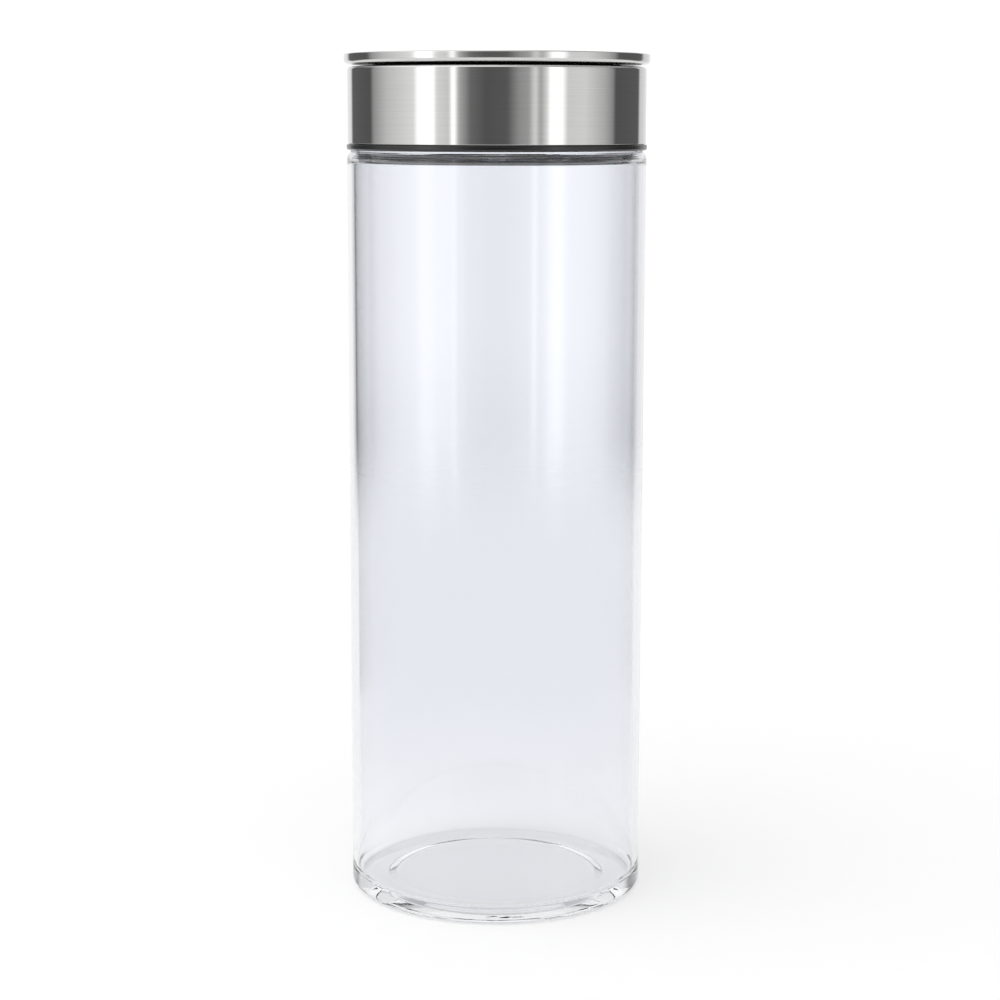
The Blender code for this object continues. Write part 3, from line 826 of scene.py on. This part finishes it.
def make_button(material):
    """Shallow dished push button on its pin, with a groove for the clip."""
    radius, low, high = extent("release_button")
    disc_low = high - DISC_SHEET - GAP
    clip_low, clip_high = extent("button_clip")[1:]
    turned("button_cap", [
        (0.0, low),
        (PIN_RADIUS, low, SOFT),
        (PIN_RADIUS, clip_low - GAP, CRISP),
        (PIN_GROOVE, clip_low - GAP, CRISP),
        (PIN_GROOVE, clip_high + GAP, CRISP),
        (PIN_RADIUS, clip_high + GAP, CRISP),
        (PIN_RADIUS, disc_low, SOFT),
        (radius, disc_low, EDGE),
        (radius, high, SOFT),
        (radius - BUTTON_RIM, high, BLUNT),
        (radius - BUTTON_RIM - BUTTON_SLOPE, high - BUTTON_DISH, ROUND),
        (0.0, high - BUTTON_DISH),
    ], material, "button", ["release_button"], sides=BUTTON_SIDES)


def make_clip(material):
    radius, low, high = extent("button_clip")
    turned("clip_ring", [
        (PIN_GROOVE + GAP, low, CRISP),
        (radius, low, EDGE),
        (radius, high, EDGE),
        (PIN_GROOVE + GAP, high, CRISP),
    ], material, "button", ["button_clip"], sides=SMALL_SIDES)


def make_release_stem(material):
    radius, low, high = extent("release_stem")
    foot_top = low + STEM_FOOT
    turned("valve_stem", [
        (0.0, high),
        (radius, high, SOFT),
        (radius, high - STEM_HEAD, EDGE),
        (STEM_RADIUS, high - STEM_HEAD, EDGE),
        (STEM_RADIUS, foot_top, CRISP),
        (STEM_FOOT_RADIUS, foot_top, EDGE),
        (STEM_FOOT_RADIUS, low, EDGE),
        (0.0, low),
    ], material, "release_valve", ["release_stem"], sides=SMALL_SIDES)


def make_release_plug(material):
    radius, low, high = extent("release_plug")
    turned("valve_plug", [
        (STEM_RADIUS + GAP, low, EDGE),
        (radius, low, ROUND),
        (radius, high, EDGE),
        (STEM_RADIUS + GAP, high, CRISP),
    ], material, "release_valve", ["release_plug"], sides=SMALL_SIDES)


# ---- springs ----

def make_spring(node, material):
    """Round wire along a helix, in the place of its CAD node."""
    radius, low, high = extent(node)
    wire, turns = WIRE_RADII[node], WIRE_TURNS[node]
    coil = radius - wire
    rise = high - low - 2 * wire
    slope = math.atan2(rise, math.tau * coil * turns)
    steps = turns * COIL_STEPS
    vertices, faces = [], []
    for step in range(steps + 1):
        angle = math.tau * step / COIL_STEPS
        outward = Vector((math.cos(angle), math.sin(angle), 0.0))
        along = Vector((-math.sin(angle), math.cos(angle), 0.0))
        upward = Vector((0.0, 0.0, 1.0)) * math.cos(slope) - along * math.sin(slope)
        middle = outward * coil + Vector((0.0, 0.0, low + wire + rise * step / steps))
        for side in range(WIRE_SIDES):
            turn = math.tau * side / WIRE_SIDES
            vertices.append(middle + (outward * math.cos(turn) + upward * math.sin(turn)) * wire)
    for step in range(steps):
        first = step * WIRE_SIDES
        for side in range(WIRE_SIDES):
            following = (side + 1) % WIRE_SIDES
            here, there = first + side, first + following
            faces.append((here, there, there + WIRE_SIDES, here + WIRE_SIDES))
    faces.append(tuple(range(WIRE_SIDES)))
    faces.append(tuple(range(steps * WIRE_SIDES, (steps + 1) * WIRE_SIDES)))
    piece = add_piece(node + "_wire", vertices, faces, material, None, [node])
    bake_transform(piece)


# ---- studio ----

def make_camera():
    data = bpy.data.cameras.new("photo_camera")
    data.sensor_width = CAMERA_SENSOR
    data.lens = CAMERA_LENS
    data.shift_x, data.shift_y = CAMERA_SHIFT
    data.clip_start = CAMERA_NEAREST
    camera = bpy.data.objects.new("photo_camera", data)
    camera.location = (0.0, -CAMERA_DISTANCE, CAMERA_HEIGHT)
    tilt = Euler((math.pi / 2 - CAMERA_PITCH, 0.0, 0.0)).to_matrix()
    roll = Euler((0.0, 0.0, CAMERA_ROLL)).to_matrix()
    camera.rotation_euler = (tilt @ roll).to_euler()
    bpy.context.scene.collection.objects.link(camera)
    bpy.context.scene.camera = camera


def make_floor():
    bm = bmesh.new()
    bmesh.ops.create_circle(bm, cap_ends=True, segments=FLOOR_SIDES, radius=FLOOR_RADIUS)
    mesh = bpy.data.meshes.new("floor")
    bm.to_mesh(mesh)
    bm.free()
    shader = Shader("floor_paint")
    shader.set(Roughness=0.9, Specular_IOR_Level=0.0)
    shader.set(Base_Color=(FLOOR_COLOR, FLOOR_COLOR, FLOOR_COLOR, 1.0))
    shader.set(Emission_Color=(1.0, 1.0, 1.0, 1.0), Emission_Strength=FLOOR_GLOW)
    reach = shader.add("ShaderNodeVectorMath", operation="LENGTH")
    shader.join(shader.object_point(), reach.inputs[0])
    gone = shader.swell(reach.outputs["Value"], FLOOR_FADE, (1.0, 0.0))
    shader.join(gone, shader.bsdf.inputs["Alpha"])
    mesh.materials.append(shader.material)
    floor = bpy.data.objects.new("floor", mesh)
    floor.location.z = CAD_BOX[0].z - FLOOR_DROP
    bpy.context.scene.collection.objects.link(floor)


def make_world():
    """Soft sky: horizon screens by azimuth and a bright dome above.

    The lens sees plain white, also straight through the glass, so that the screens are only
    ever seen as reflections.
    """
    world = bpy.data.worlds.new("studio")
    world.use_nodes = True
    bpy.context.scene.world = world
    sky = Nodes(world.node_tree)
    direction = sky.add("ShaderNodeTexCoord").outputs["Generated"]
    x, y, z = sky.split(direction)
    azimuth = sky.math("ARCTAN2", x, sky.math("MULTIPLY", y, -1.0))
    share = sky.math("ADD", sky.math("DIVIDE", azimuth, math.tau), 0.5)
    horizon = sky.ramp(share, [(degrees / 360 + 0.5, light) for degrees, light in HORIZON])
    lean = sky.add("ShaderNodeVectorMath", operation="DOT_PRODUCT")
    lean.inputs[1].default_value = KEY_DIRECTION
    sky.join(direction, lean.inputs[0])
    dome = sky.swell(lean.outputs["Value"], KEY_REACH, DOME_LIGHT)
    studio = sky.mix("RGBA", sky.swell(z, DOME_RISE), horizon, dome)
    path = sky.add("ShaderNodeLightPath").outputs
    unreflected = sky.math("LESS_THAN", path["Glossy Depth"], 0.5)
    straight_through = sky.math("MULTIPLY", unreflected, path["Is Transmission Ray"])
    past_glass = sky.mix("RGBA", straight_through, studio, THROUGH_GLASS)
    seen = sky.mix("RGBA", path["Is Camera Ray"], past_glass, BACKDROP_WHITE)
    sky.join(seen, sky.nodes["Background"].inputs["Color"])


def allow_long_glass_paths():
    """Lets light run along inside the thick base, where it reflects many times."""
    paths = bpy.context.scene.cycles
    paths.max_bounces = 40
    paths.glossy_bounces = 32
    paths.transmission_bounces = 24


def build():
    bpy.context.scene.view_settings.view_transform = "Standard"
    allow_long_glass_paths()
    make_camera()
    make_floor()
    make_world()
    black = black_plastic("satin_black")
    rubber = silicone("milky_silicone")
    disc_metal = brushed_steel("disc_brushed", roughness=0.13)
    wire = wire_steel("spring_wire")
    screw_metal = wire_steel("screw_metal")
    make_jar(clear_glass(extent("glass_jar")[0]))
    make_band(brushed_steel("band_brushed", roughness=0.065))
    make_housing(black)
    make_gasket(rubber)
    make_chamber_floor(black)
    make_seal("floor_seal", "lid", rubber)
    make_seal("piston_seal", "plunger", rubber)
    make_umbrella_valve("intake_valve", "lid", rubber)
    make_umbrella_valve("exhaust_valve", "plunger", rubber)
    make_core(black)
    make_cap(black)
    make_disc(disc_metal)
    for number in SCREWS:
        make_screw(number, screw_metal)
    make_button(disc_metal)
    make_clip(screw_metal)
    make_release_stem(black)
    make_release_plug(rubber)
    make_spring("return_spring", wire)
    make_spring("button_spring", wire)
    make_spring("release_spring", wire)


build()
